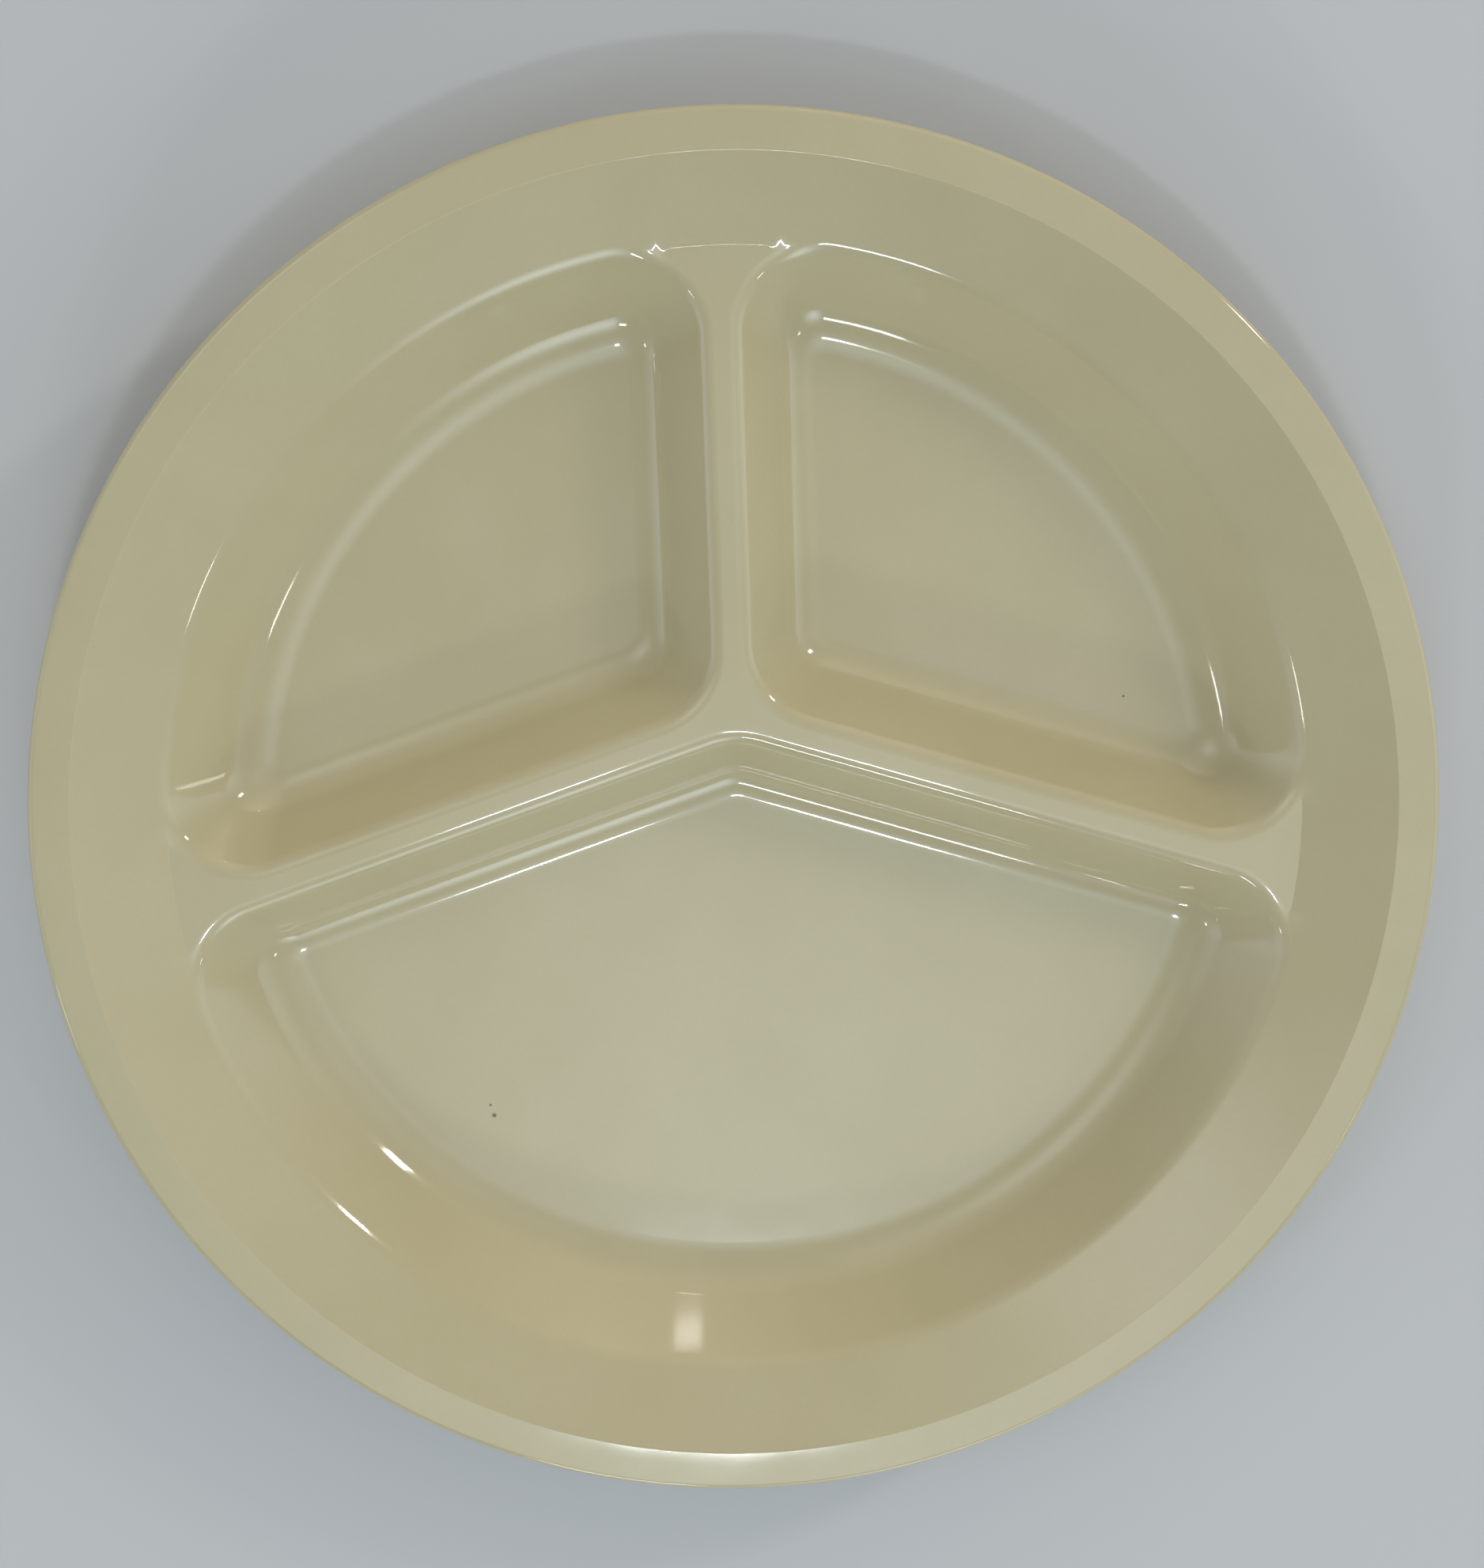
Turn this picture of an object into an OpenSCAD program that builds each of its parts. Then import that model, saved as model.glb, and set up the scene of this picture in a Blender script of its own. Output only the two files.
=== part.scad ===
// Divided compartment plate: one round moulding with a flat lip, a ring sloping down
// inside it, and three wells parted by a raised divider in the shape of a Y.
// Millimetres, +Z up. The origin is on the table under the middle of the plate, the
// large well lies towards -Y and the two small wells lie towards +Y.

/* [Plate] */
// outside diameter across the lip
plate_d = 254; // [210:1:310]
// height from the table to the top of the lip
plate_h = 27; // [24:0.5:36]
// thickness of the moulded wall
wall_t = 2.6; // [2.1:0.1:3.2]

/* [Rim] */
// width of the flat lip round the edge
lip_w = 7.6; // [4:0.1:12]
// plan width of the ring that slopes down from the lip
ring_w = 15.5; // [11:0.1:20]
// fall of that ring from the lip to the divider tops
ring_fall = 8; // [5:0.5:11]

/* [Dividers] */
// width of the flat top of a divider, between its eased edges
divider_w = 2.3; // [1.4:0.1:6]
// distance behind the middle of the plate at which the dividers meet
meet_y = 20.2; // [14:0.1:28]
// angle that the large well takes up where the dividers meet
large_angle = 144; // [132:1:156]

/* [Wells] */
// plan run of a wall along a divider, from its top edge to the flat floor
wall_run = 16.1; // [13.5:0.1:19.5]
// plan run of a wall along the rim, from its top edge to the flat floor
rim_run = 18.2; // [15:0.1:21.5]
// rise of a well's edge at the rim above the divider tops
edge_rise = 0.3; // [0.2:0.1:1]
// radius that eases the edge between a divider's top and its walls
edge_r = 3.7; // [2.6:0.1:4.4]
// radius of the fillet where a wall along a divider meets the floor
fillet_r = 8; // [5:0.5:9]
// radius of the fillet where a wall along the rim meets the floor
rim_fillet_r = 12; // [8:0.5:13]
// corner radius of a well at its top edge
top_corner_r = 15.8; // [12:0.1:20]
// corner radius of a well's floor at the rim
floor_corner_r = 1.5; // [0.8:0.1:3]
// corner radius of a well's floor where two dividers meet
inner_corner_r = 5; // [1:0.1:8]

/* [Foot] */
// height of the foot rim under each well
foot_h = 1.4; // [1:0.1:2]
// width of that foot rim
foot_w = 2.5; // [2:0.1:3.5]

/* [Hidden] */
$fn = 96;
// steps that draw an eased edge, a fillet, a well's corner and the half-round lip
edge_steps = 4;
fillet_steps = 5;
corner_steps = 8;
lip_steps = 10;
// angle that one step of a well's wall takes up along the rim
rim_step = 4;

// radii of the lip's inside edge and of the crease at the foot of the ring
plate_r = plate_d / 2;
lip_r = plate_r - lip_w;
ring_r = lip_r - ring_w;

// heights of the divider tops and of the floors, and the depth between them
divider_z = plate_h - ring_fall;
floor_z = foot_h + wall_t;
well_depth = divider_z - floor_z;

// edge of the wells on the ring, and their depth there
well_r = ring_r + edge_rise * ring_w / ring_fall;
rim_depth = well_depth + edge_rise;

// steepness of the straight part of a wall, which touches both of its curves
blend_r = edge_r + fillet_r;
wall_fall = well_depth - blend_r;
wall_slope = atan2(wall_fall, wall_run) + asin(blend_r / norm([wall_run, wall_fall]));
rim_fall = rim_depth - rim_fillet_r;
rim_slope = atan2(rim_fall, rim_run) + asin(rim_fillet_r / norm([rim_run, rim_fall]));

// underside of a wall: the fillets seen from below, and where they leave the foot rim
under_r = fillet_r + wall_t;
under_rim_r = rim_fillet_r + wall_t;
foot_slope = asin(foot_w / under_r);

// heights above a floor from which all walls run straight, inside and outside
straight_rise = edge_rise
    + max(fillet_r * (1 - cos(wall_slope)), rim_fillet_r * (1 - cos(rim_slope)));
under_rise = edge_rise
    + max(fillet_r - under_r * cos(wall_slope), rim_fillet_r - under_rim_r * cos(rim_slope));

// how far a cut runs past the face that it opens
overrun = edge_rise / 10;
// height inside a divider's top at which the cups of the wells begin
cup_z = divider_z - wall_t / 2;

// ring seen from below: how far its corners move out to keep the wall's thickness
ring_shift = wall_t * tan(atan2(ring_fall, ring_w) / 2);
lip_round_r = wall_t / 2;

// directions of the dividers, and the angle of each small well between them
meet = [0, meet_y];
back_arm = 90;
left_arm = 270 - large_angle / 2;
right_arm = large_angle / 2 - 90;
small_angle = left_arm - back_arm;

function heading(angle) = [cos(angle), sin(angle)];

// an angle brought to within a turn after another
function turn_after(angle, from) = angle - 360 * floor((angle - from) / 360);

// corner radius of a well at a distance in from its top edge, given the radius at its floor
function corner_at(run, floor_r) = top_corner_r - (top_corner_r - floor_r) * run / wall_run;

// distance in from a well's top edge along a divider, at a depth below the divider's top
function wall_at(depth) = edge_r * tan(wall_slope / 2) + depth / tan(wall_slope);

// distance in from a well's edge along the rim, at a height above the floor
function rim_at(rise) =
    rise > rim_fillet_r * (1 - cos(rim_slope))
        ? (rim_depth - rise) / tan(rim_slope)
        : rim_run - sqrt(rim_fillet_r * rim_fillet_r - (rim_fillet_r - rise) * (rim_fillet_r - rise));

// the same for the outside of the wall
function under_rim_at(rise) =
    rise > rim_fillet_r - under_rim_r * cos(rim_slope)
        ? (rim_depth - rise) / tan(rim_slope) - wall_t / sin(rim_slope)
        : rim_run - sqrt(under_rim_r * under_rim_r - (rim_fillet_r - rise) * (rim_fillet_r - rise));

// sections from the bottom up: distance in along a divider, distance in along the rim, height

// hollow of a well: floor, fillet, straight wall and eased edge
hollow_section = concat(
    [for (i = [0 : fillet_steps])
        let (a = wall_slope * i / fillet_steps, rise = fillet_r * (1 - cos(a)))
        [wall_run - fillet_r * sin(a), rim_at(rise), floor_z + rise]],
    [[wall_at(well_depth - straight_rise), rim_at(straight_rise), floor_z + straight_rise]],
    [for (i = [edge_steps : -1 : 1])
        let (a = wall_slope * i / edge_steps, depth = edge_r * (1 - cos(a)))
        [edge_r * sin(a), rim_at(well_depth - depth), divider_z - depth]],
    [let (a = wall_slope / edge_steps / 2)
        [-overrun / tan(a), rim_at(well_depth + overrun), divider_z + overrun]],
    [[-overrun, rim_at(well_depth + wall_t), divider_z + wall_t]]
);

// outside of a well's cup: foot rim, fillet and straight wall, up into the divider's top
cup_section = concat(
    [[wall_run - foot_w, rim_run - foot_w, 0]],
    [for (i = [0 : fillet_steps])
        let (
            a = foot_slope + (wall_slope - foot_slope) * i / fillet_steps,
            rise = fillet_r - under_r * cos(a)
        )
        [wall_run - under_r * sin(a), under_rim_at(rise), floor_z + rise]],
    [[
        wall_at(well_depth - under_rise) - wall_t / sin(wall_slope),
        under_rim_at(under_rise),
        floor_z + under_rise,
    ]],
    [[
        wall_at(divider_z - cup_z) - wall_t / sin(wall_slope),
        under_rim_at(cup_z - floor_z),
        cup_z,
    ]]
);

// recess inside the foot rim
recess_section = [[wall_run, rim_run, -overrun], [wall_run, rim_run, foot_h]];

// the ring and the lip about the flat that the dividers are left from
rim_section = concat(
    [[0, divider_z], [ring_r, divider_z], [lip_r, plate_h]],
    [for (i = [0 : lip_steps])
        let (a = 90 - 180 * i / lip_steps)
        [plate_r - lip_round_r, plate_h - lip_round_r] + lip_round_r * heading(a)],
    [[lip_r + ring_shift, plate_h - wall_t], [ring_r + ring_shift, divider_z - wall_t]],
    [[0, divider_z - wall_t]]
);

function arc(middle, radius, from, to, steps) =
    [for (i = [0 : steps]) middle + radius * heading(from + (to - from) * i / steps)];

// axis of the corner between a divider and the rim
function rim_axis(along, across, off, radius) =
    let (start = meet + off * across, lead = start * along)
    start + (sqrt(lead * lead - start * start + radius * radius) - lead) * along;

// outline in plan of the well between two dividers, at given distances in from its edge
function outline(first_arm, angle, run, rim) =
    let (
        last_arm = first_arm + angle,
        corner = corner_at(run, floor_corner_r),
        off = divider_w / 2 + run + corner,
        axis_r = well_r - rim - corner,
        inner_r = corner_at(run, inner_corner_r),
        inner_off = divider_w / 2 + run + inner_r,
        inner = meet + inner_off / sin(angle / 2) * heading(first_arm + angle / 2),
        first = rim_axis(heading(first_arm), heading(first_arm + 90), off, axis_r),
        last = rim_axis(heading(last_arm), heading(last_arm - 90), off, axis_r),
        first_rim = turn_after(atan2(first.y, first.x), first_arm - 90),
        last_rim = turn_after(atan2(last.y, last.x), first_rim),
        rim_steps = ceil(angle / rim_step),
        rim_arc = arc([0, 0], well_r - rim, first_rim, last_rim, rim_steps)
    )
    concat(
        arc(inner, inner_r, last_arm + 90, first_arm + 270, corner_steps),
        arc(first, corner, first_arm - 90, first_rim, corner_steps),
        [for (i = [1 : rim_steps - 1]) rim_arc[i]],
        arc(last, corner, last_rim, last_arm + 90, corner_steps)
    );

// a section carried round the outline of one well, as a closed solid
module well_form(section, first_arm, angle) {
    loops = [for (s = section) outline(first_arm, angle, s[0], s[1])];
    count = len(loops[0]);
    top = len(section) - 1;
    polyhedron(
        points = [for (k = [0 : top]) for (p = loops[k]) [p.x, p.y, section[k][2]]],
        faces = concat(
            [[for (i = [0 : count - 1]) i]],
            [[for (i = [count - 1 : -1 : 0]) top * count + i]],
            [for (k = [0 : top - 1])
                for (i = [0 : count - 1])
                    let (j = (i + 1) % count, low = k * count, high = low + count)
                    [low + i, high + i, high + j, low + j]]
        )
    );
}

// the same section carried round all three wells
module wells(section) {
    well_form(section, left_arm, large_angle);
    well_form(section, right_arm, small_angle);
    well_form(section, back_arm, small_angle);
}

// the whole moulding
module plate() {
    color([0.79, 0.755, 0.59])
        difference() {
            union() {
                rotate_extrude()
                    polygon(rim_section);
                wells(cup_section);
            }
            wells(hollow_section);
            wells(recess_section);
        }
}

plate();
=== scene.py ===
import math

import bpy
import numpy as np
from mathutils import Matrix, Vector
from mathutils.geometry import delaunay_2d_cdt


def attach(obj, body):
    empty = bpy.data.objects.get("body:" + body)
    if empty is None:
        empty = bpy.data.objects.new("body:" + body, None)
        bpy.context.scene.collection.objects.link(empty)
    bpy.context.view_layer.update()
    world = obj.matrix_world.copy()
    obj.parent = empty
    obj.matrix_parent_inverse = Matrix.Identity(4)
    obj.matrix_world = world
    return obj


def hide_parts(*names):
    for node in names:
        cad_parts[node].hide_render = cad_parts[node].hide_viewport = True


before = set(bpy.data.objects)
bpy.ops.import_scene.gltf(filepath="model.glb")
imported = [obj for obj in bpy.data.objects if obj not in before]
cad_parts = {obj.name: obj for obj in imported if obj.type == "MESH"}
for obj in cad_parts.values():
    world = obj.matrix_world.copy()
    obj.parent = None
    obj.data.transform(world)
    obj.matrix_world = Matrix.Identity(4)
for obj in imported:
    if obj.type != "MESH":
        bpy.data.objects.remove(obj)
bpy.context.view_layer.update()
scene = bpy.context.scene

# Sizes of the plate in millimetres, the same as in the CAD source.
PLATE_D = 254.0
PLATE_H = 27.0
WALL_T = 2.6
LIP_W = 7.6
RING_W = 15.5
RING_FALL = 8.0
DIVIDER_W = 2.3
MEET_Y = 20.2
LARGE_ANGLE = 144.0
WALL_RUN = 16.1
RIM_RUN = 18.2
EDGE_RISE = 0.3
EDGE_R = 3.7
FILLET_R = 8.0
RIM_FILLET_R = 12.0
TOP_CORNER_R = 15.8
FLOOR_CORNER_R = 1.5
INNER_CORNER_R = 5.0
FOOT_H = 1.4
FOOT_W = 2.5
MM = 0.001              # one millimetre in metres

# Softness of the moulded edges, in millimetres.
RIM_EASE = 1.6          # along each face from the edge of a well on the ring
UNDER_EASE = 0.9        # along each face where a cup meets the underside
CREASE_EASE = 0.1       # half the width of the hollow crease inside the ring
LIP_EASE = 0.08         # half the width of the crease between ring and lip
FOOT_EASE = 0.5         # rounding of the foot rims

# Steps of the mesh round a well.
INNER_STEPS = 16        # corner where two dividers meet
CORNER_STEPS = 26       # corner at the rim
ARM_STEPS = 22          # wall along a divider
LARGE_RIM_STEPS = 96    # wall along the rim, in the large well
SMALL_RIM_STEPS = 56    # the same in a small well

# Steps of the mesh from a floor up to the lip.
FOOT_STEPS = 4          # each of the foot rim's three rounded edges
FILLET_STEPS = 14       # fillet along a divider
BLEND_STEPS = 4         # from there to the top of the fillet along the rim
WALL_STEPS = 4          # straight wall
EDGE_STEPS = 8          # eased edge
LIP_STEPS = 18          # half-round edge of the lip

# Loops of the mesh: points in a circle, radii in millimetres on the ring and the lip, and shares of a floor.
ROUND_STEPS = 300
TOP_RING_LOOPS = (107.2, 109.5, 112.5, 115.5, 117.5)
TOP_LIP_LOOPS = (122.0, 124.2)
UNDER_RING_LOOPS = (108.6, 111.0, 114.0, 117.0)
UNDER_LIP_LOOPS = (122.6, 124.2)
FLOOR_LOOPS = (0.86, 0.62, 0.36)
CREASE_LOOPS = (-1.0, -0.5, 0.0, 0.5, 1.0)      # across an eased crease, in halves of its width

# Distances that the surfaces are worked out with, in millimetres.
BLEND_PAST = 0.1        # how far the blend runs on above the higher of the two fillets
HOLLOW_SPAN = 4.0       # height over which a well's straight wall is aimed
CUP_SPAN = 3.0          # the same outside the well
EDGE_REACH = 0.6        # how far to each side the slope at a well's edge is taken
NORMAL_REACH = 0.01     # the same for a normal
CREASE_CLEAR = 0.35     # least gap between a crease's points and a well's edge
JOIN_GAP = 1e-6         # gap below which the triangulation joins points
TINY = 1e-12            # smallest number that is divided by

EDGE_ROUNDS = 60                # rounds that find where a wall meets the surface above it
BLUR = (1, 2, 3, 4, 3, 2, 1)    # weights of neighbours when normals are blurred along a loop
WHOLE_HULL = 0                  # the triangulation's output: all triangles in the convex hull

# Sizes that follow from those above, as in the CAD source.
plate_r = PLATE_D / 2
lip_r = plate_r - LIP_W
ring_r = lip_r - RING_W
divider_z = PLATE_H - RING_FALL
floor_z = FOOT_H + WALL_T
well_depth = divider_z - floor_z
ring_slope = RING_FALL / RING_W
well_r = ring_r + EDGE_RISE / ring_slope
rim_depth = well_depth + EDGE_RISE
blend_r = EDGE_R + FILLET_R
wall_fall = well_depth - blend_r
wall_slope = math.atan2(wall_fall, WALL_RUN) + math.asin(blend_r / math.hypot(WALL_RUN, wall_fall))
rim_fall = rim_depth - RIM_FILLET_R
rim_slope = math.atan2(rim_fall, RIM_RUN) + math.asin(RIM_FILLET_R / math.hypot(RIM_RUN, rim_fall))
under_r = FILLET_R + WALL_T
under_rim_r = RIM_FILLET_R + WALL_T
foot_slope = math.asin(FOOT_W / under_r)
ring_shift = WALL_T * math.tan(math.atan2(RING_FALL, RING_W) / 2)
lip_round_r = WALL_T / 2

# Directions of the dividers, and the wells as their first divider and the angle they take up.
BACK_ARM = 90.0
LEFT_ARM = 270.0 - LARGE_ANGLE / 2
RIGHT_ARM = LARGE_ANGLE / 2 - 90.0
SMALL_ANGLE = LEFT_ARM - BACK_ARM
WELLS = ((LEFT_ARM, LARGE_ANGLE), (RIGHT_ARM, SMALL_ANGLE), (BACK_ARM, SMALL_ANGLE))
MEET = np.array([0.0, MEET_Y])
UP = np.array([0.0, 0.0, 1.0])


def add_object(name, data):
    made = bpy.data.objects.new(name, data)
    scene.collection.objects.link(made)
    return made


def unit(vectors):
    return vectors / np.maximum(np.linalg.norm(vectors, axis=-1, keepdims=True), TINY)


def plan_radius(points):
    """Distances of points from the plate's axis."""
    return np.hypot(points[:, 0], points[:, 1])


def heading(angle):
    return np.array([math.cos(math.radians(angle)), math.sin(math.radians(angle))])


def turn_after(angle, start):
    """An angle brought to within a turn after another."""
    return angle - 360.0 * math.floor((angle - start) / 360.0)


def arc(centre, radius, start, end, steps):
    a = np.radians(np.linspace(start, end, steps + 1))
    return centre + radius * np.stack([np.cos(a), np.sin(a)], 1)


def circle(radius):
    """Points of a circle about the plate's axis, in plan."""
    a = np.linspace(0, 2 * np.pi, ROUND_STEPS, endpoint=False)
    return radius * np.stack([np.cos(a), np.sin(a)], 1)


def between(a, b, steps):
    """Points on the line from a to b, without its ends."""
    t = np.linspace(0, 1, steps + 1)[1:-1, None]
    return a + (b - a) * t


def rim_axis(along, across, off, radius):
    """Axis of the corner between a divider and the rim."""
    start = MEET + off * across
    lead = start @ along
    return start + (math.sqrt(lead * lead - start @ start + radius * radius) - lead) * along


def corner_at(run, floor_r):
    """Corner radius of a well at a distance in from its top edge, given the radius at its floor."""
    return TOP_CORNER_R - (TOP_CORNER_R - floor_r) * run / WALL_RUN


def outline(first_arm, angle, run, rim):
    """Plan of a well: inner corner, divider, rim between two corners, divider. run and rim are insets."""
    last_arm = first_arm + angle
    half = angle / 2
    corner = corner_at(run, FLOOR_CORNER_R)
    off = DIVIDER_W / 2 + run + corner
    axis_r = well_r - rim - corner
    inner_r = corner_at(run, INNER_CORNER_R)
    inner_off = DIVIDER_W / 2 + run + inner_r
    inner = MEET + inner_off / math.sin(math.radians(half)) * heading(first_arm + half)
    first = rim_axis(heading(first_arm), heading(first_arm + 90), off, axis_r)
    last = rim_axis(heading(last_arm), heading(last_arm - 90), off, axis_r)
    first_rim = turn_after(math.degrees(math.atan2(first[1], first[0])), first_arm - 90)
    last_rim = turn_after(math.degrees(math.atan2(last[1], last[0])), first_rim)
    rim_steps = LARGE_RIM_STEPS if angle == LARGE_ANGLE else SMALL_RIM_STEPS
    inner_arc = arc(inner, inner_r, last_arm + 90, first_arm + 270, INNER_STEPS)
    first_arc = arc(first, corner, first_arm - 90, first_rim, CORNER_STEPS)
    rim_arc = arc(np.zeros(2), well_r - rim, first_rim, last_rim, rim_steps)[1:-1]
    last_arc = arc(last, corner, last_rim, last_arm + 90, CORNER_STEPS)
    first_line = between(inner_arc[-1], first_arc[0], ARM_STEPS)
    last_line = between(last_arc[-1], inner_arc[0], ARM_STEPS)
    return np.concatenate([inner_arc, first_line, first_arc, rim_arc, last_arc, last_line])


def level(well, run, rim, z):
    """The same outline as points at a height."""
    flat = outline(*well, run, rim)
    return np.column_stack([flat, np.full(len(flat), z)])


def wall_at(depth):
    """Distance in from a well's top edge along a divider, at a depth below the divider's top."""
    return EDGE_R * math.tan(wall_slope / 2) + depth / math.tan(wall_slope)


def rim_at(rise):
    """Distance in from a well's edge along the rim, at a height above the floor."""
    if rise > RIM_FILLET_R * (1 - math.cos(rim_slope)):
        return (rim_depth - rise) / math.tan(rim_slope)
    return RIM_RUN - math.sqrt(RIM_FILLET_R ** 2 - (RIM_FILLET_R - rise) ** 2)


def under_rim_at(rise):
    """The same for the outside of the wall."""
    if rise > RIM_FILLET_R - under_rim_r * math.cos(rim_slope):
        return (rim_depth - rise) / math.tan(rim_slope) - WALL_T / math.sin(rim_slope)
    return RIM_RUN - math.sqrt(under_rim_r ** 2 - (RIM_FILLET_R - rise) ** 2)


def bend(r, at, half, before, after, height):
    """Height of a profile that turns from one slope to another at a radius, eased over half to each side."""
    s = np.clip(r - at, -half, half)
    soft = (s + half) ** 2 / (4 * half)
    return height + before * (r - at) + (after - before) * np.where(r > at + half, r - at, soft)


def profile(r, inner, outer, drop):
    """Height at a radius: flat up to inner, rising along the ring, and flat again from outer on."""
    r = np.asarray(r, float)
    inside = bend(r, inner, CREASE_EASE, 0.0, ring_slope, divider_z - drop)
    outside = bend(r, outer, LIP_EASE, ring_slope, 0.0, PLATE_H - drop)
    return np.where(r > (inner + outer) / 2, outside, inside)


def upper(r):
    """Height of the dividers, ring and lip at a radius."""
    return profile(r, ring_r, lip_r, 0.0)


def lower(r):
    """Height of the underside at a radius."""
    return profile(r, ring_r + ring_shift, lip_r + ring_shift, WALL_T)


def slope_at(surface, r, reach):
    return (surface(r + reach) - surface(r - reach)) / (2 * reach)


def lie_normals(points, surface, side):
    """Normals at points of a surface that is round about the plate's axis."""
    slope = slope_at(surface, plan_radius(points), NORMAL_REACH)
    n = np.column_stack([-slope[:, None] * unit(points[:, :2]), np.ones(len(points))])
    return side * unit(n)


def sheet_normals(levels, side):
    """Normals of a stack of closed loops, from the differences along and across them."""
    along = np.roll(levels, -1, axis=1) - np.roll(levels, 1, axis=1)
    across = np.gradient(levels, axis=0)
    return unit(np.cross(across, along) * side)


def soften(normals, rows):
    """Blurs the last rows of normals along their loops, where the ring's crease meets a well's edge."""
    part = normals[-rows:]
    blurred = np.zeros_like(part)
    for shift, weight in enumerate(BLUR, -(len(BLUR) // 2)):
        blurred += weight * np.roll(part, shift, axis=1)
    normals[-rows:] = unit(blurred)


def eased_top(wall_levels, low, high, surface, ease):
    """Joins a wall to the surface above it with a soft edge. low and high are levels of the straight wall."""
    step = (high - low) / (high[0, 2] - low[0, 2])
    edge = high.copy()
    for _ in range(EDGE_ROUNDS):
        rise = surface(plan_radius(edge)) - high[:, 2]
        edge = high + step * rise[:, None]
    up = unit(step)
    out = unit(step[:, :2])
    r = plan_radius(edge)
    slope = slope_at(surface, r, EDGE_REACH) * np.sum(out * edge[:, :2], 1) / r
    onward = np.column_stack([out, slope]) / np.sqrt(1 + slope ** 2)[:, None]
    turn = np.arccos(np.clip(np.sum(up * onward, 1), -1, 1))
    length = ease(turn)
    end = edge + onward * length[:, None]
    end[:, 2] = surface(plan_radius(end))
    start = edge - up * length[:, None]
    base = wall_levels[-1]
    rows = list(wall_levels)
    for k in range(1, WALL_STEPS):
        rows.append(base + (start - base) * k / WALL_STEPS)
    pull = np.cos(turn / 2)[:, None]
    for u in np.linspace(0, 1, EDGE_STEPS + 1):
        a = (1 - u) ** 2
        b = 2 * u * (1 - u) * pull
        c = u * u
        rows.append((a * start + b * edge + c * end) / (a + b + c))
    return np.array(rows)


def edge_ease(turn):
    """Length of the easing along each face: the edge's radius on a divider, and a softer bend on the ring."""
    rim_turn = rim_slope - math.atan(ring_slope)
    share = np.clip((turn - rim_turn) / (wall_slope - rim_turn), 0, 1)
    return RIM_EASE + (EDGE_R * math.tan(wall_slope / 2) - RIM_EASE) * share


def under_ease(turn):
    return np.full(len(turn), UNDER_EASE)


def well_levels(well):
    """The hollow of a well from its floor up: fillets, straight wall and eased edge."""
    rows = []
    for k in range(FILLET_STEPS + 1):
        a = wall_slope * k / FILLET_STEPS
        rise = FILLET_R * (1 - math.cos(a))
        rows.append(level(well, WALL_RUN - FILLET_R * math.sin(a), rim_at(rise), floor_z + rise))
    blend_top = max(rise, RIM_FILLET_R * (1 - math.cos(rim_slope))) + BLEND_PAST
    for rise in np.linspace(rise, blend_top, BLEND_STEPS + 1)[1:]:
        rows.append(level(well, wall_at(well_depth - rise), rim_at(rise), floor_z + rise))
    low = level(well, wall_at(HOLLOW_SPAN), rim_at(well_depth - HOLLOW_SPAN), divider_z - HOLLOW_SPAN)
    high = level(well, wall_at(0.0), rim_at(well_depth), divider_z)
    return eased_top(rows, low, high, upper, edge_ease)


def cup_levels(well):
    """The outside of a well, from the recess in its foot over the foot rim and up to the underside."""
    rows = []

    def foot(inset, z):
        rows.append(level(well, WALL_RUN + inset, RIM_RUN + inset, z))

    def wall(z):
        run = wall_at(divider_z - z) - WALL_T / math.sin(wall_slope)
        return level(well, run, under_rim_at(z - floor_z), z)

    quarter = np.radians(np.linspace(0, 90, FOOT_STEPS + 1))
    for a in quarter:
        foot(FOOT_EASE * (1 - math.sin(a)), FOOT_H - FOOT_EASE * (1 - math.cos(a)))
    for a in quarter:
        foot(FOOT_EASE * (math.cos(a) - 1), FOOT_EASE * (1 - math.sin(a)))
    for a in quarter:
        foot(FOOT_EASE * (1 - math.sin(a)) - FOOT_W, FOOT_EASE * (1 - math.cos(a)))
    for k in range(FILLET_STEPS + 1):
        a = foot_slope + (wall_slope - foot_slope) * k / FILLET_STEPS
        rise = FILLET_R - under_r * math.cos(a)
        rows.append(level(well, WALL_RUN - under_r * math.sin(a), under_rim_at(rise), floor_z + rise))
    top = divider_z - WALL_T
    return eased_top(rows, wall(top - CUP_SPAN), wall(top), lower, under_ease)


class Skin:
    """Vertices, normals and faces of the plate, gathered piece by piece. Faces of side -1 look down."""

    def __init__(self):
        self.points = []
        self.normals = []
        self.faces = []
        self.count = 0

    def add(self, points, normals):
        """Takes in vertices and gives back their numbers."""
        start = self.count
        self.points.append(np.asarray(points, float))
        self.normals.append(np.asarray(normals, float))
        self.count += len(points)
        return np.arange(start, self.count)

    def face(self, corners, side):
        """One face, with its corners anticlockwise as seen from above."""
        corners = [int(c) for c in corners]
        self.faces.append(corners if side > 0 else corners[::-1])

    def strip(self, inner, outer, side):
        """Quads between two closed loops that run anticlockwise, the second outside the first."""
        n = len(inner)
        for i in range(n):
            j = (i + 1) % n
            self.face((inner[i], outer[i], outer[j], inner[j]), side)

    def cap(self, loop, points, side):
        """A flat floor inside a loop, in rings that close in on its middle."""
        middle = points.mean(axis=0)
        last = loop
        for share in FLOOR_LOOPS:
            ring = middle + (points - middle) * share
            ids = self.add(ring, np.tile(UP * side, (len(ring), 1)))
            self.strip(ids, last, side)
            last = ids
        centre = self.add(middle[None], (UP * side)[None])[0]
        for a, b in zip(last, np.roll(last, -1)):
            self.face((centre, a, b), side)


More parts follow.
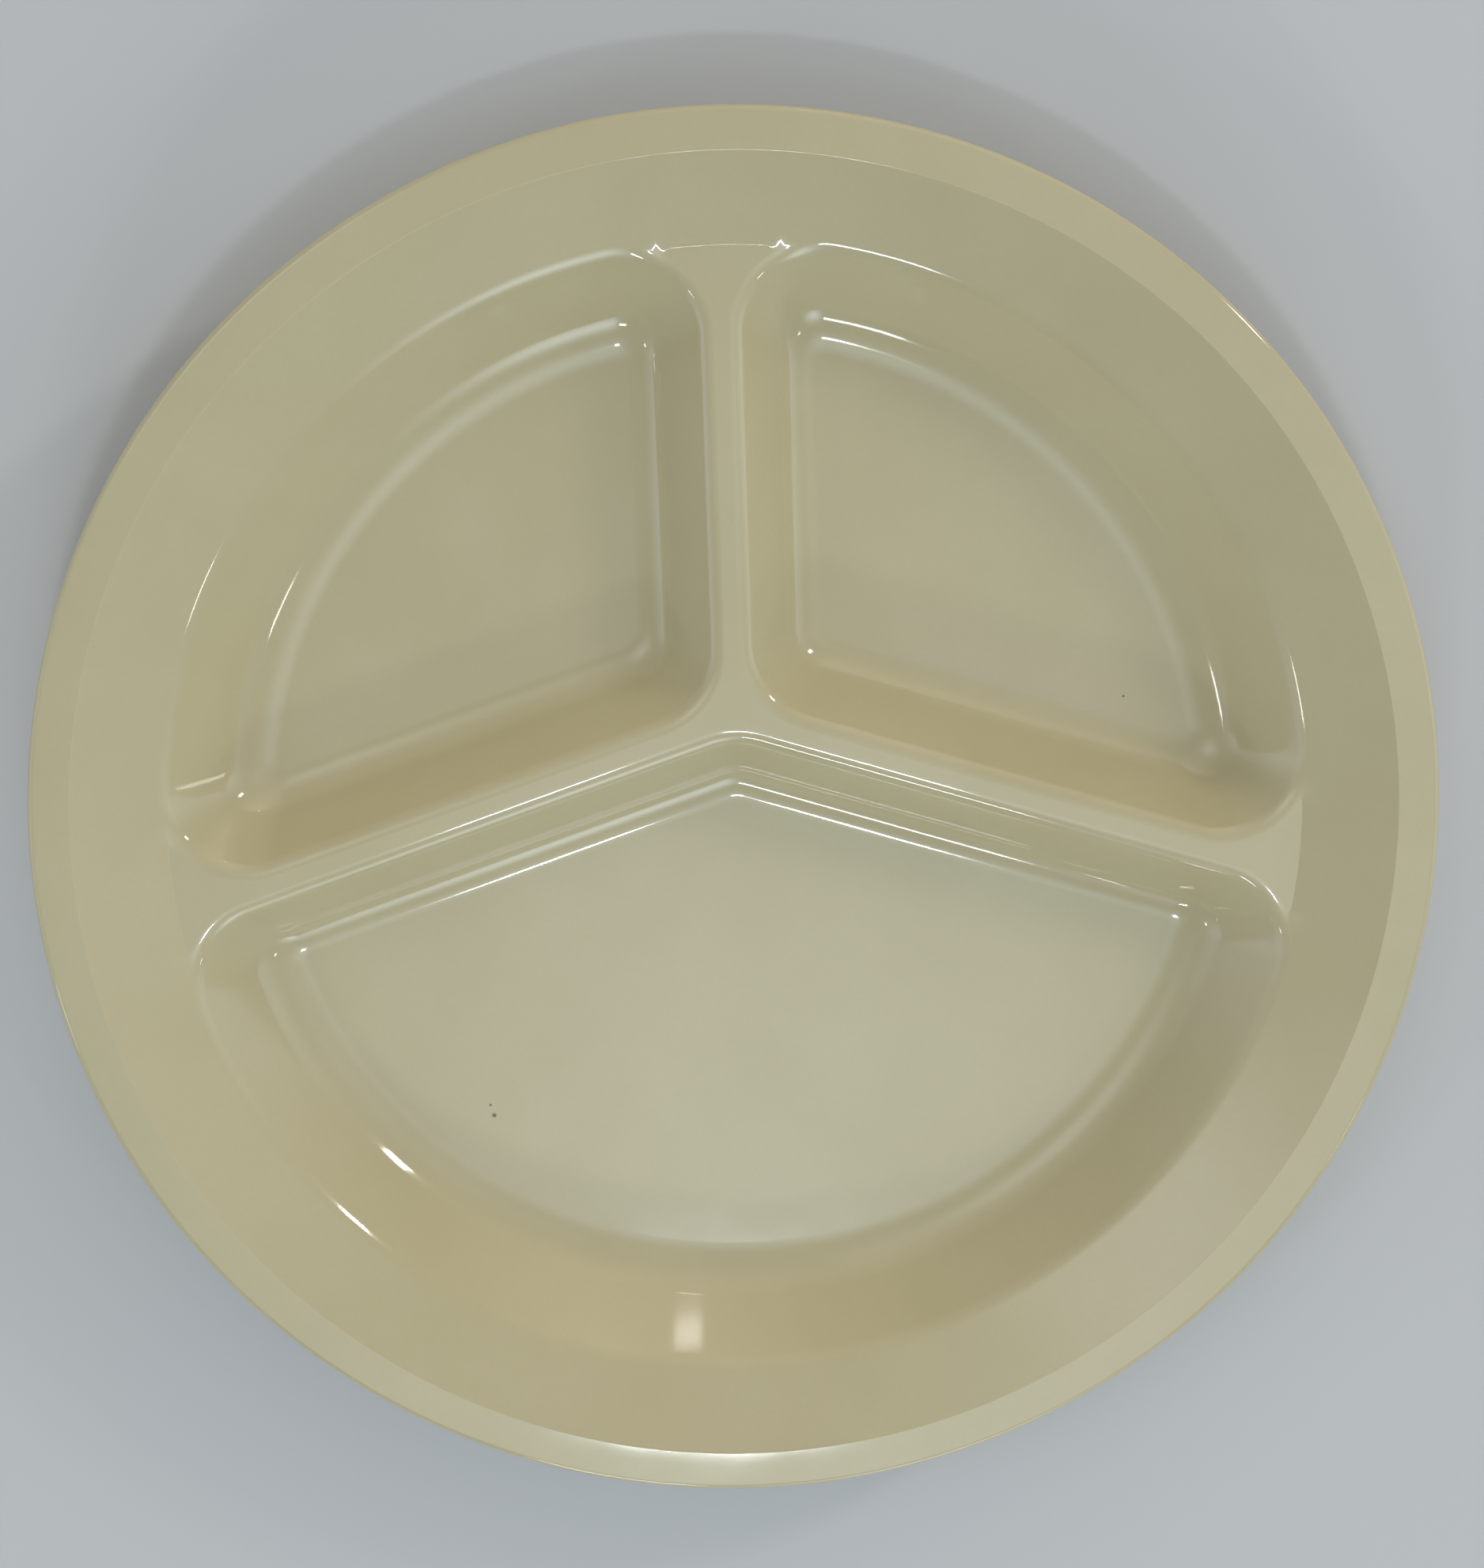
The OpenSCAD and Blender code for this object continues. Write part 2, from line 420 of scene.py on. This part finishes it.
def inside_loop(points, loop):
    """Which points lie inside a closed loop, in plan."""
    x, y = points[:, :1], points[:, 1:2]
    x0, y0 = loop[:, 0], loop[:, 1]
    x1, y1 = np.roll(x0, -1), np.roll(y0, -1)
    cross = (y0 > y) != (y1 > y)
    dy = np.where(np.abs(y1 - y0) < TINY, TINY, y1 - y0)
    at = (x1 - x0) * (y - y0) / dy + x0
    return np.sum(cross & (x < at), axis=1) % 2 == 1


def gap_to_loop(points, loop):
    """Distances of points from a closed loop, in plan."""
    along = np.roll(loop, -1, axis=0) - loop
    away = points[:, None] - loop
    share = np.clip(np.sum(away * along, 2) / np.maximum(np.sum(along * along, 1), TINY), 0, 1)
    return np.min(np.linalg.norm(away - share[:, :, None] * along, axis=2), axis=1)


def eased(at, half):
    """Radii of the loops across an eased crease."""
    return [at + half * s for s in CREASE_LOOPS]


def lay(skin, loops, outer, rings, surface, side):
    """Fills the surface from the tops of the wells out to a circle. rings are radii that it bends along."""
    flat = []
    ids = []
    edges = []

    def take(numbers, points):
        start = len(ids)
        flat.extend(Vector((p[0], p[1])) for p in points)
        ids.extend(numbers)
        return start

    for numbers, points in [*loops, outer]:
        start = take(numbers, points)
        n = len(points)
        edges.extend((start + i, start + (i + 1) % n) for i in range(n))
    for radius in rings:
        ring = circle(radius)
        free = np.ones(ROUND_STEPS, bool)
        for _, points in loops:
            loop = points[:, :2]
            free &= ~inside_loop(ring, loop) & (gap_to_loop(ring, loop) > CREASE_CLEAR)
        kept = np.flatnonzero(free)
        points = np.column_stack([ring[kept], surface(np.full(len(kept), radius))])
        start = take(skin.add(points, lie_normals(points, surface, side)), points)
        place = {int(k): start + i for i, k in enumerate(kept)}
        for k in place:
            after = (k + 1) % ROUND_STEPS
            if after in place:
                edges.append((place[k], place[after]))
    made = delaunay_2d_cdt(flat, edges, [], WHOLE_HULL, JOIN_GAP)
    xy = np.array([[p[0], p[1]] for p in made[0]])
    triangles = np.array([list(t) for t in made[2]])
    origin = made[3]
    if any(len(o) != 1 for o in origin):
        raise RuntimeError("a point of the plate's flat surface was split or merged")
    middles = xy[triangles].mean(axis=1)
    keep = plan_radius(middles) < np.hypot(*outer[1][0, :2])
    for _, points in loops:
        keep &= ~inside_loop(middles, points[:, :2])
    for t in triangles[keep]:
        a, b, c = xy[t]
        area = (b[0] - a[0]) * (c[1] - a[1]) - (b[1] - a[1]) * (c[0] - a[0])
        skin.face([ids[origin[k][0]] for k in t], side if area > 0 else -side)


def round_loop(skin, radius, z, out, up):
    """A circle of vertices about the plate's axis. out and up are the parts of their normals."""
    points = np.column_stack([circle(radius), np.full(ROUND_STEPS, z)])
    normals = np.column_stack([circle(out), np.full(ROUND_STEPS, up)])
    return skin.add(points, normals), points


def side_of_plate(skin, surface, make_levels, side, crease, radii):
    """One face of the plate out to the lip: three wells or cups, and the surface between and around them."""
    loops = []
    for well in WELLS:
        levels = make_levels(well)
        normals = sheet_normals(levels, side)
        normals[0] = UP * side
        normals[-1] = lie_normals(levels[-1], surface, side)
        soften(normals, EDGE_STEPS + 1)
        ids = [skin.add(p, n) for p, n in zip(levels, normals)]
        for a, b in zip(ids, ids[1:]):
            skin.strip(a, b, side)
        skin.cap(ids[0], levels[0], side)
        loops.append((ids[-1], levels[-1]))
    rings = []
    for radius in radii:
        out, _, up = lie_normals(np.array([[radius, 0.0, 0.0]]), surface, side)[0]
        rings.append(round_loop(skin, radius, float(surface(radius)), out, up))
    for (a, _), (b, _) in zip(rings, rings[1:]):
        skin.strip(a, b, side)
    lay(skin, loops, rings[0], eased(crease, CREASE_EASE), surface, side)
    return rings[-1][0]


def make_plate():
    """The whole moulding as one closed mesh, with its normals."""
    skin = Skin()
    round_r = plate_r - lip_round_r
    round_z = PLATE_H - lip_round_r
    top_radii = [*TOP_RING_LOOPS, *eased(lip_r, LIP_EASE), *TOP_LIP_LOOPS, round_r]
    under_radii = [*UNDER_RING_LOOPS, *eased(lip_r + ring_shift, LIP_EASE), *UNDER_LIP_LOOPS, round_r]
    last = side_of_plate(skin, upper, well_levels, 1, ring_r, top_radii)
    under = side_of_plate(skin, lower, cup_levels, -1, ring_r + ring_shift, under_radii)
    for angle in np.linspace(90, -90, LIP_STEPS + 1)[1:-1]:
        out, up = heading(angle)
        ids, _ = round_loop(skin, round_r + lip_round_r * out, round_z + lip_round_r * up, out, up)
        skin.strip(last, ids, 1)
        last = ids
    skin.strip(last, under, 1)
    points = np.concatenate(skin.points) * MM
    mesh = bpy.data.meshes.new("plate_moulding")
    mesh.from_pydata(points.tolist(), [], skin.faces)
    mesh.validate()
    mesh.update()
    mesh.polygons.foreach_set("use_smooth", np.ones(len(mesh.polygons), bool))
    mesh.normals_split_custom_set_from_vertices([tuple(n) for n in np.concatenate(skin.normals)])
    return add_object("plate_moulding", mesh)


plate = make_plate()

# Colours of the moulding, linear.
PALE = (0.600, 0.532, 0.334)
DEEP = (0.570, 0.503, 0.307)
DUSK = (0.500, 0.443, 0.250)
SPECK = (0.070, 0.055, 0.035)

# Noises in the moulding: scale per metre, detail and roughness.
CLOUDS = (38.0, 4.0, 0.55)
GRAIN = (950.0, 2.0, 0.5)
STREAKS = (700.0, 1.0, 0.5)
WEAR = (17.0, 2.0, 0.5)
GLOSS = (60.0, 3.0, 0.5)
SWELL = (55.0, 1.0, 0.5)
PEEL = (1400.0, 2.0, 0.5)

# What becomes of them: two values that go in, and the two that come out for them.
CLOUD_RANGE = (0.3, 0.7, 0.0, 1.0)          # share of the deeper tone
GRAIN_RANGE = (0.35, 0.65, 0.0, 0.10)       # share of the dusky tone
STREAK_RANGE = (0.66, 0.74, 0.0, 1.0)       # strength of a cutlery mark
WEAR_RANGE = (0.45, 0.65, 0.0, 0.09)        # roughness that a full mark adds
FLOOR_RANGE = (0.005, 0.008, 1.0, 0.0)      # share of the marks by height in metres, which keeps them low
GLOSS_RANGE = (0.3, 0.7, 0.055, 0.085)      # roughness without marks

STREAK_TURNS = (0.4, 1.7, 2.6)              # directions of the cutlery marks, in radians
STREAK_SCALE = (1.0, 0.035, 1.0)            # draws the noise out into lines
SWELL_BUMP = {"Strength": 0.35, "Distance": 0.00012}
PEEL_BUMP = {"Strength": 0.12, "Distance": 0.00001}
IOR = 1.56

# Small dark specks moulded into the floors: where they are, in metres, and how wide.
SPECKS = (
    ((-0.0493, -0.0562, 0.004), 0.00015),
    ((-0.0487, -0.0583, 0.004), 0.00026),
    ((0.0737, 0.0191, 0.004), 0.00014),
)
SPECK_SHARE = 0.8       # how dark they are
SPECK_FADE = 2.2        # where their soft edge ends, in widths


def feed(tree, socket, value):
    """Puts a plain value or another node's output into a socket."""
    if isinstance(value, bpy.types.NodeSocket):
        tree.links.new(value, socket)
    else:
        socket.default_value = value


def node(tree, kind, **sockets):
    made = tree.nodes.new(kind)
    for name, value in sockets.items():
        feed(tree, made.inputs[name], value)
    return made


def noise(tree, place, scale, detail, roughness):
    made = node(tree, "ShaderNodeTexNoise", Vector=place, Scale=scale, Detail=detail, Roughness=roughness)
    return made.outputs["Fac"]


def remap(tree, value, low, high, to_low, to_high):
    made = node(tree, "ShaderNodeMapRange", Value=value)
    for name, number in (("From Min", low), ("From Max", high), ("To Min", to_low), ("To Max", to_high)):
        made.inputs[name].default_value = number
    return made.outputs["Result"]


def combine(tree, operation, a, b):
    made = tree.nodes.new("ShaderNodeMath")
    made.operation = operation
    feed(tree, made.inputs[0], a)
    feed(tree, made.inputs[1], b)
    return made.outputs["Value"]


def vector_math(tree, operation, *values):
    made = tree.nodes.new("ShaderNodeVectorMath")
    made.operation = operation
    for socket, value in zip(made.inputs, values):
        feed(tree, socket, value)
    return made


def mixed(tree, share, a, b):
    """A colour between two others, each a plain colour or a node's output."""
    made = tree.nodes.new("ShaderNodeMix")
    made.data_type = "RGBA"
    feed(tree, made.inputs["Factor"], share)
    for name, value in (("A", a), ("B", b)):
        feed(tree, made.inputs[name], (*value, 1) if isinstance(value, tuple) else value)
    return made.outputs["Result"]


def melamine():
    """Glossy moulding, pale olive yellow, with faint clouding, fine grain, a few specks and cutlery marks."""
    material = bpy.data.materials.new("melamine")
    material.use_nodes = True
    tree = material.node_tree
    shader = tree.nodes["Principled BSDF"]
    place = tree.nodes.new("ShaderNodeTexCoord").outputs["Object"]
    height = node(tree, "ShaderNodeSeparateXYZ", Vector=place).outputs["Z"]

    tone = mixed(tree, remap(tree, noise(tree, place, *CLOUDS), *CLOUD_RANGE), PALE, DEEP)
    tone = mixed(tree, remap(tree, noise(tree, place, *GRAIN), *GRAIN_RANGE), tone, DUSK)
    for spot, width in SPECKS:
        gap = vector_math(tree, "DISTANCE", place, spot).outputs["Value"]
        tone = mixed(tree, remap(tree, gap, width, width * SPECK_FADE, SPECK_SHARE, 0.0), tone, SPECK)

    marks = 0.0
    for turn in STREAK_TURNS:
        line = node(tree, "ShaderNodeMapping", Vector=place, Rotation=(0, 0, turn), Scale=STREAK_SCALE)
        streak = remap(tree, noise(tree, line.outputs["Vector"], *STREAKS), *STREAK_RANGE)
        marks = combine(tree, "MAXIMUM", marks, streak)
    worn = combine(tree, "MULTIPLY", marks, remap(tree, noise(tree, place, *WEAR), *WEAR_RANGE))
    worn = combine(tree, "MULTIPLY", worn, remap(tree, height, *FLOOR_RANGE))
    gloss = remap(tree, noise(tree, place, *GLOSS), *GLOSS_RANGE)

    swell = node(tree, "ShaderNodeBump", Height=noise(tree, place, *SWELL), **SWELL_BUMP)
    peel = node(tree, "ShaderNodeBump", Height=noise(tree, place, *PEEL), **PEEL_BUMP)
    feed(tree, peel.inputs["Normal"], swell.outputs["Normal"])

    feed(tree, shader.inputs["Base Color"], tone)
    feed(tree, shader.inputs["Roughness"], combine(tree, "ADD", gloss, worn))
    feed(tree, shader.inputs["Normal"], peel.outputs["Normal"])
    feed(tree, shader.inputs["IOR"], IOR)
    return material


plate.data.materials.append(melamine())
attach(plate, "root")
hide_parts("plate")

# The camera, from a fit to the plate's circles and edges in the photograph, 1876 by 1982 pixels.
FOCAL_PX = 3000.0
LONG_SIDE_PX = 1982.0
SENSOR_MM = 36.0
CLIP_NEAR = 0.01
CLIP_FAR = 50.0
VIEW_TURN = (0.186631, 0.0280409, 0.0330039)            # about X, Y and Z, in radians
VIEW_OFFSET_MM = (-1.26987, -4.22652, -452.938)         # of the plate, as seen by the camera

view = Matrix.Identity(3)
for angle, axis in zip(VIEW_TURN, "XYZ"):
    view = view @ Matrix.Rotation(angle, 3, axis)
from_view = view.transposed()
camera_data = bpy.data.cameras.new("camera")
camera_data.sensor_width = SENSOR_MM
camera_data.lens = FOCAL_PX / LONG_SIDE_PX * SENSOR_MM
camera_data.clip_start = CLIP_NEAR
camera_data.clip_end = CLIP_FAR
camera = add_object("camera", camera_data)
camera.matrix_world = Matrix.Translation(-(from_view @ (Vector(VIEW_OFFSET_MM) * MM))) @ from_view.to_4x4()
scene.camera = camera

# The floor that the plate stands on, in metres.
FLOOR_HALF = 3.0
FLOOR_COLOUR = (0.62, 0.62, 0.62, 1)
FLOOR_ROUGHNESS = 0.8
FLOOR_CORNERS = ((-1, -1), (1, -1), (1, 1), (-1, 1))

floor_mesh = bpy.data.meshes.new("floor")
floor_mesh.from_pydata([(x * FLOOR_HALF, y * FLOOR_HALF, 0) for x, y in FLOOR_CORNERS], [], [(0, 1, 2, 3)])
floor = add_object("floor", floor_mesh)
floor_material = bpy.data.materials.new("floor")
floor_material.use_nodes = True
floor_shader = floor_material.node_tree.nodes["Principled BSDF"]
floor_shader.inputs["Base Color"].default_value = FLOOR_COLOUR
floor_shader.inputs["Roughness"].default_value = FLOOR_ROUGHNESS
floor_mesh.materials.append(floor_material)

# Tints of the light.
SKY = (0.74, 0.88, 1.00)
COOL = (0.80, 0.90, 1.00)
PALE_DAY = (0.90, 0.97, 1.00)
EVEN = (1.00, 0.97, 0.93)
WARM = (1.00, 0.88, 0.66)

# Lamps: name, azimuth from +X and elevation in degrees, distance and size in metres, radiance, tint.
LIGHTS = (
    ("lamp_front", 270, 63.6, 2.2, (0.20, 0.08), 95.0, PALE_DAY),
    ("lamp_low", 261, 28, 1.6, (0.30, 0.10), 26.0, PALE_DAY),
    ("lamp_back", 34, 28, 1.6, (0.10, 0.26), 40.0, EVEN),
    ("pane_back", 80, 13.5, 1.6, (0.09, 0.035), 7.0, EVEN),
    ("pane_right", 321, 34, 1.6, (0.14, 0.08), 16.0, EVEN),
    ("pane_left", 206, 34, 1.6, (0.14, 0.08), 18.0, EVEN),
)

# The soft light of the room: its even level, and broad glows by name, azimuth, elevation and spread
# in degrees, radiance and tint.
AMBIENT = (0.05, 0.05, 0.05)
GLOWS = (
    ("over_front", 277, 68, 10, 2.1, SKY),
    ("over_right", 0, 66, 13, 0.7, COOL),
    ("over_left", 146, 58, 9, 1.8, COOL),
    ("over_back", 90, 45, 20, 0.5, EVEN),
    ("low_front", 283, 20, 8, 4.4, COOL),
    ("low_right", 0, 14, 16, 1.5, COOL),
    ("low_back", 75, 12, 20, 1.3, WARM),
    ("low_left", 185, 14, 15, 1.5, COOL),
)


def toward(azimuth, elevation):
    """Direction from the plate at an azimuth and an elevation in degrees."""
    x, y = heading(azimuth)
    flat, up = heading(elevation)
    return Vector((x * flat, y * flat, up))


def softbox(name, azimuth, elevation, distance, size, radiance, tint):
    """A lamp that faces the plate."""
    data = bpy.data.lights.new(name, "AREA")
    data.shape = "RECTANGLE"
    data.size, data.size_y = size
    data.energy = radiance * math.pi * size[0] * size[1]
    data.color = tint
    light = add_object(name, data)
    light.location = distance * toward(azimuth, elevation)
    light.rotation_mode = "QUATERNION"
    light.rotation_quaternion = (-light.location).to_track_quat("-Z", "Y")


def soft_room():
    """A world of broad glows, each brightest in its own direction and fading like a bell curve."""
    world = bpy.data.worlds.new("room")
    world.use_nodes = True
    tree = world.node_tree
    look = tree.nodes.new("ShaderNodeTexCoord").outputs["Generated"]
    total = AMBIENT
    for _, azimuth, elevation, spread, radiance, tint in GLOWS:
        near = vector_math(tree, "DOT_PRODUCT", look, toward(azimuth, elevation)).outputs["Value"]
        sharp = 1 / math.radians(spread) ** 2
        fall = combine(tree, "MULTIPLY", combine(tree, "SUBTRACT", near, 1.0), sharp)
        strength = combine(tree, "POWER", math.e, fall)
        colour = [radiance * part for part in tint]
        total = vector_math(tree, "MULTIPLY_ADD", strength, colour, total).outputs["Vector"]
    feed(tree, tree.nodes["Background"].inputs["Color"], total)
    return world


for lamp in LIGHTS:
    softbox(*lamp)
scene.world = soft_room()
scene.view_settings.view_transform = "Standard"
